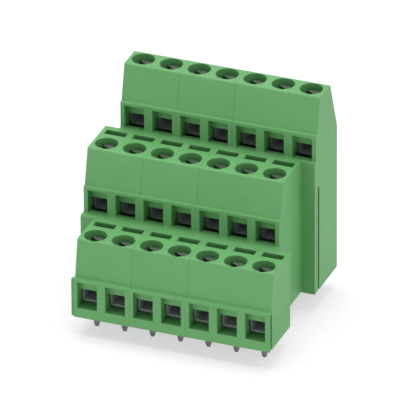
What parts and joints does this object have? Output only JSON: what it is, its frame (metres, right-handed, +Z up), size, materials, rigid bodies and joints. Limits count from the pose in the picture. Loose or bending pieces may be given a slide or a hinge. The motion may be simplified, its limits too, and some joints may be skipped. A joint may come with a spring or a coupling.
{
  "type": "pcb terminal block",
  "caption": "Three-tier screw terminal block for a circuit board, with rising wire cages under slotted screws and solder pins below.",
  "frame": {"origin": "middle of the overall outline in X and Y, at the tips of the solder pins", "axes": "+X along the poles to the right as seen from the wire side, +Y from the wire side to the back, +Z up from the board"},
  "size_m": [0.038, 0.0322, 0.0402],
  "materials": {
    "green_plastic": "fine moulded surface",
    "zinc_steel": "zinc plated",
    "nickel_cage": "nickel plated",
    "tinned_metal": "tin plated"
  },
  "bodies": {
    "block": {"housing_left": "green_plastic", "contacts_tier1_left": "tinned_metal", "contacts_tier2_left": "tinned_metal", "contacts_tier3_left": "tinned_metal", "housing_middle": "green_plastic", "contacts_tier1_middle": "tinned_metal", "contacts_tier2_middle": "tinned_metal", "contacts_tier3_middle": "tinned_metal", "housing_right": "green_plastic", "contacts_tier1_right": "tinned_metal", "contacts_tier2_right": "tinned_metal", "contacts_tier3_right": "tinned_metal"},
    "screw_tier1_pole1": {"screw_tier1_pole1": "zinc_steel"},
    "cage_tier1_pole1": {"cage_tier1_pole1": "nickel_cage"},
    "screw_tier1_pole2": {"screw_tier1_pole2": "zinc_steel"},
    "cage_tier1_pole2": {"cage_tier1_pole2": "nickel_cage"},
    "screw_tier1_pole3": {"screw_tier1_pole3": "zinc_steel"},
    "cage_tier1_pole3": {"cage_tier1_pole3": "nickel_cage"},
    "screw_tier1_pole4": {"screw_tier1_pole4": "zinc_steel"},
    "cage_tier1_pole4": {"cage_tier1_pole4": "nickel_cage"},
    "screw_tier1_pole5": {"screw_tier1_pole5": "zinc_steel"},
    "cage_tier1_pole5": {"cage_tier1_pole5": "nickel_cage"},
    "screw_tier1_pole6": {"screw_tier1_pole6": "zinc_steel"},
    "cage_tier1_pole6": {"cage_tier1_pole6": "nickel_cage"},
    "screw_tier1_pole7": {"screw_tier1_pole7": "zinc_steel"},
    "cage_tier1_pole7": {"cage_tier1_pole7": "nickel_cage"},
    "screw_tier2_pole1": {"screw_tier2_pole1": "zinc_steel"},
    "cage_tier2_pole1": {"cage_tier2_pole1": "nickel_cage"},
    "screw_tier2_pole2": {"screw_tier2_pole2": "zinc_steel"},
    "cage_tier2_pole2": {"cage_tier2_pole2": "nickel_cage"},
    "screw_tier2_pole3": {"screw_tier2_pole3": "zinc_steel"},
    "cage_tier2_pole3": {"cage_tier2_pole3": "nickel_cage"},
    "screw_tier2_pole4": {"screw_tier2_pole4": "zinc_steel"},
    "cage_tier2_pole4": {"cage_tier2_pole4": "nickel_cage"},
    "screw_tier2_pole5": {"screw_tier2_pole5": "zinc_steel"},
    "cage_tier2_pole5": {"cage_tier2_pole5": "nickel_cage"},
    "screw_tier2_pole6": {"screw_tier2_pole6": "zinc_steel"},
    "cage_tier2_pole6": {"cage_tier2_pole6": "nickel_cage"},
    "screw_tier2_pole7": {"screw_tier2_pole7": "zinc_steel"},
    "cage_tier2_pole7": {"cage_tier2_pole7": "nickel_cage"},
    "screw_tier3_pole1": {"screw_tier3_pole1": "zinc_steel"},
    "cage_tier3_pole1": {"cage_tier3_pole1": "nickel_cage"},
    "screw_tier3_pole2": {"screw_tier3_pole2": "zinc_steel"},
    "cage_tier3_pole2": {"cage_tier3_pole2": "nickel_cage"},
    "screw_tier3_pole3": {"screw_tier3_pole3": "zinc_steel"},
    "cage_tier3_pole3": {"cage_tier3_pole3": "nickel_cage"},
    "screw_tier3_pole4": {"screw_tier3_pole4": "zinc_steel"},
    "cage_tier3_pole4": {"cage_tier3_pole4": "nickel_cage"},
    "screw_tier3_pole5": {"screw_tier3_pole5": "zinc_steel"},
    "cage_tier3_pole5": {"cage_tier3_pole5": "nickel_cage"},
    "screw_tier3_pole6": {"screw_tier3_pole6": "zinc_steel"},
    "cage_tier3_pole6": {"cage_tier3_pole6": "nickel_cage"},
    "screw_tier3_pole7": {"screw_tier3_pole7": "zinc_steel"},
    "cage_tier3_pole7": {"cage_tier3_pole7": "nickel_cage"}
  },
  "joints": [
    {"name": "turn_tier1_pole1", "type": "hinge", "parent": "block", "child": "screw_tier1_pole1", "pos_m": [-0.01398, -0.01218, 0.0166], "axis": [0, 0, -1], "range_deg": [-362, 1762]},
    {"name": "lift_tier1_pole1", "type": "slide", "parent": "block", "child": "cage_tier1_pole1", "axis": [0, 0, 1], "range_m": [-0.00045, 0.0022]},
    {"name": "turn_tier1_pole2", "type": "hinge", "parent": "block", "child": "screw_tier1_pole2", "pos_m": [-0.0089, -0.01218, 0.0166], "axis": [0, 0, -1], "range_deg": [-362, 1762]},
    {"name": "lift_tier1_pole2", "type": "slide", "parent": "block", "child": "cage_tier1_pole2", "axis": [0, 0, 1], "range_m": [-0.00045, 0.0022]},
    {"name": "turn_tier1_pole3", "type": "hinge", "parent": "block", "child": "screw_tier1_pole3", "pos_m": [-0.00382, -0.01218, 0.0166], "axis": [0, 0, -1], "range_deg": [-362, 1762]},
    {"name": "lift_tier1_pole3", "type": "slide", "parent": "block", "child": "cage_tier1_pole3", "axis": [0, 0, 1], "range_m": [-0.00045, 0.0022]},
    {"name": "turn_tier1_pole4", "type": "hinge", "parent": "block", "child": "screw_tier1_pole4", "pos_m": [0.00126, -0.01218, 0.0166], "axis": [0, 0, -1], "range_deg": [-362, 1762]},
    {"name": "lift_tier1_pole4", "type": "slide", "parent": "block", "child": "cage_tier1_pole4", "axis": [0, 0, 1], "range_m": [-0.00045, 0.0022]},
    {"name": "turn_tier1_pole5", "type": "hinge", "parent": "block", "child": "screw_tier1_pole5", "pos_m": [0.00634, -0.01218, 0.0166], "axis": [0, 0, -1], "range_deg": [-362, 1762]},
    {"name": "lift_tier1_pole5", "type": "slide", "parent": "block", "child": "cage_tier1_pole5", "axis": [0, 0, 1], "range_m": [-0.00045, 0.0022]},
    {"name": "turn_tier1_pole6", "type": "hinge", "parent": "block", "child": "screw_tier1_pole6", "pos_m": [0.01142, -0.01218, 0.0166], "axis": [0, 0, -1], "range_deg": [-362, 1762]},
    {"name": "lift_tier1_pole6", "type": "slide", "parent": "block", "child": "cage_tier1_pole6", "axis": [0, 0, 1], "range_m": [-0.00045, 0.0022]},
    {"name": "turn_tier1_pole7", "type": "hinge", "parent": "block", "child": "screw_tier1_pole7", "pos_m": [0.0165, -0.01218, 0.0166], "axis": [0, 0, -1], "range_deg": [-362, 1762]},
    {"name": "lift_tier1_pole7", "type": "slide", "parent": "block", "child": "cage_tier1_pole7", "axis": [0, 0, 1], "range_m": [-0.00045, 0.0022]},
    {"name": "turn_tier2_pole1", "type": "hinge", "parent": "block", "child": "screw_tier2_pole1", "pos_m": [-0.01652, -0.00038, 0.0279], "axis": [0, 0, -1], "range_deg": [-362, 1762]},
    {"name": "lift_tier2_pole1", "type": "slide", "parent": "block", "child": "cage_tier2_pole1", "axis": [0, 0, 1], "range_m": [-0.00045, 0.0022]},
    {"name": "turn_tier2_pole2", "type": "hinge", "parent": "block", "child": "screw_tier2_pole2", "pos_m": [-0.01144, -0.00038, 0.0279], "axis": [0, 0, -1], "range_deg": [-362, 1762]},
    {"name": "lift_tier2_pole2", "type": "slide", "parent": "block", "child": "cage_tier2_pole2", "axis": [0, 0, 1], "range_m": [-0.00045, 0.0022]},
    {"name": "turn_tier2_pole3", "type": "hinge", "parent": "block", "child": "screw_tier2_pole3", "pos_m": [-0.00636, -0.00038, 0.0279], "axis": [0, 0, -1], "range_deg": [-362, 1762]},
    {"name": "lift_tier2_pole3", "type": "slide", "parent": "block", "child": "cage_tier2_pole3", "axis": [0, 0, 1], "range_m": [-0.00045, 0.0022]},
    {"name": "turn_tier2_pole4", "type": "hinge", "parent": "block", "child": "screw_tier2_pole4", "pos_m": [-0.00128, -0.00038, 0.0279], "axis": [0, 0, -1], "range_deg": [-362, 1762]},
    {"name": "lift_tier2_pole4", "type": "slide", "parent": "block", "child": "cage_tier2_pole4", "axis": [0, 0, 1], "range_m": [-0.00045, 0.0022]},
    {"name": "turn_tier2_pole5", "type": "hinge", "parent": "block", "child": "screw_tier2_pole5", "pos_m": [0.0038, -0.00038, 0.0279], "axis": [0, 0, -1], "range_deg": [-362, 1762]},
    {"name": "lift_tier2_pole5", "type": "slide", "parent": "block", "child": "cage_tier2_pole5", "axis": [0, 0, 1], "range_m": [-0.00045, 0.0022]},
    {"name": "turn_tier2_pole6", "type": "hinge", "parent": "block", "child": "screw_tier2_pole6", "pos_m": [0.00888, -0.00038, 0.0279], "axis": [0, 0, -1], "range_deg": [-362, 1762]},
    {"name": "lift_tier2_pole6", "type": "slide", "parent": "block", "child": "cage_tier2_pole6", "axis": [0, 0, 1], "range_m": [-0.00045, 0.0022]},
    {"name": "turn_tier2_pole7", "type": "hinge", "parent": "block", "child": "screw_tier2_pole7", "pos_m": [0.01396, -0.00038, 0.0279], "axis": [0, 0, -1], "range_deg": [-362, 1762]},
    {"name": "lift_tier2_pole7", "type": "slide", "parent": "block", "child": "cage_tier2_pole7", "axis": [0, 0, 1], "range_m": [-0.00045, 0.0022]},
    {"name": "turn_tier3_pole1", "type": "hinge", "parent": "block", "child": "screw_tier3_pole1", "pos_m": [-0.01398, 0.01047, 0.0392], "axis": [0, 0, -1], "range_deg": [-362, 1762]},
    {"name": "lift_tier3_pole1", "type": "slide", "parent": "block", "child": "cage_tier3_pole1", "axis": [0, 0, 1], "range_m": [-0.00045, 0.0022]},
    {"name": "turn_tier3_pole2", "type": "hinge", "parent": "block", "child": "screw_tier3_pole2", "pos_m": [-0.0089, 0.01047, 0.0392], "axis": [0, 0, -1], "range_deg": [-362, 1762]},
    {"name": "lift_tier3_pole2", "type": "slide", "parent": "block", "child": "cage_tier3_pole2", "axis": [0, 0, 1], "range_m": [-0.00045, 0.0022]},
    {"name": "turn_tier3_pole3", "type": "hinge", "parent": "block", "child": "screw_tier3_pole3", "pos_m": [-0.00382, 0.01047, 0.0392], "axis": [0, 0, -1], "range_deg": [-362, 1762]},
    {"name": "lift_tier3_pole3", "type": "slide", "parent": "block", "child": "cage_tier3_pole3", "axis": [0, 0, 1], "range_m": [-0.00045, 0.0022]},
    {"name": "turn_tier3_pole4", "type": "hinge", "parent": "block", "child": "screw_tier3_pole4", "pos_m": [0.00126, 0.01047, 0.0392], "axis": [0, 0, -1], "range_deg": [-362, 1762]},
    {"name": "lift_tier3_pole4", "type": "slide", "parent": "block", "child": "cage_tier3_pole4", "axis": [0, 0, 1], "range_m": [-0.00045, 0.0022]},
    {"name": "turn_tier3_pole5", "type": "hinge", "parent": "block", "child": "screw_tier3_pole5", "pos_m": [0.00634, 0.01047, 0.0392], "axis": [0, 0, -1], "range_deg": [-362, 1762]},
    {"name": "lift_tier3_pole5", "type": "slide", "parent": "block", "child": "cage_tier3_pole5", "axis": [0, 0, 1], "range_m": [-0.00045, 0.0022]},
    {"name": "turn_tier3_pole6", "type": "hinge", "parent": "block", "child": "screw_tier3_pole6", "pos_m": [0.01142, 0.01047, 0.0392], "axis": [0, 0, -1], "range_deg": [-362, 1762]},
    {"name": "lift_tier3_pole6", "type": "slide", "parent": "block", "child": "cage_tier3_pole6", "axis": [0, 0, 1], "range_m": [-0.00045, 0.0022]},
    {"name": "turn_tier3_pole7", "type": "hinge", "parent": "block", "child": "screw_tier3_pole7", "pos_m": [0.0165, 0.01047, 0.0392], "axis": [0, 0, -1], "range_deg": [-362, 1762]},
    {"name": "lift_tier3_pole7", "type": "slide", "parent": "block", "child": "cage_tier3_pole7", "axis": [0, 0, 1], "range_m": [-0.00045, 0.0022]}
  ],
  "couplings": [
    {"joint": "turn_tier1_pole1", "follows": "lift_tier1_pole1", "rad_per_m": 13963},
    {"joint": "turn_tier1_pole2", "follows": "lift_tier1_pole2", "rad_per_m": 13963},
    {"joint": "turn_tier1_pole3", "follows": "lift_tier1_pole3", "rad_per_m": 13963},
    {"joint": "turn_tier1_pole4", "follows": "lift_tier1_pole4", "rad_per_m": 13963},
    {"joint": "turn_tier1_pole5", "follows": "lift_tier1_pole5", "rad_per_m": 13963},
    {"joint": "turn_tier1_pole6", "follows": "lift_tier1_pole6", "rad_per_m": 13963},
    {"joint": "turn_tier1_pole7", "follows": "lift_tier1_pole7", "rad_per_m": 13963},
    {"joint": "turn_tier2_pole1", "follows": "lift_tier2_pole1", "rad_per_m": 13963},
    {"joint": "turn_tier2_pole2", "follows": "lift_tier2_pole2", "rad_per_m": 13963},
    {"joint": "turn_tier2_pole3", "follows": "lift_tier2_pole3", "rad_per_m": 13963},
    {"joint": "turn_tier2_pole4", "follows": "lift_tier2_pole4", "rad_per_m": 13963},
    {"joint": "turn_tier2_pole5", "follows": "lift_tier2_pole5", "rad_per_m": 13963},
    {"joint": "turn_tier2_pole6", "follows": "lift_tier2_pole6", "rad_per_m": 13963},
    {"joint": "turn_tier2_pole7", "follows": "lift_tier2_pole7", "rad_per_m": 13963},
    {"joint": "turn_tier3_pole1", "follows": "lift_tier3_pole1", "rad_per_m": 13963},
    {"joint": "turn_tier3_pole2", "follows": "lift_tier3_pole2", "rad_per_m": 13963},
    {"joint": "turn_tier3_pole3", "follows": "lift_tier3_pole3", "rad_per_m": 13963},
    {"joint": "turn_tier3_pole4", "follows": "lift_tier3_pole4", "rad_per_m": 13963},
    {"joint": "turn_tier3_pole5", "follows": "lift_tier3_pole5", "rad_per_m": 13963},
    {"joint": "turn_tier3_pole6", "follows": "lift_tier3_pole6", "rad_per_m": 13963},
    {"joint": "turn_tier3_pole7", "follows": "lift_tier3_pole7", "rad_per_m": 13963}
  ]
}
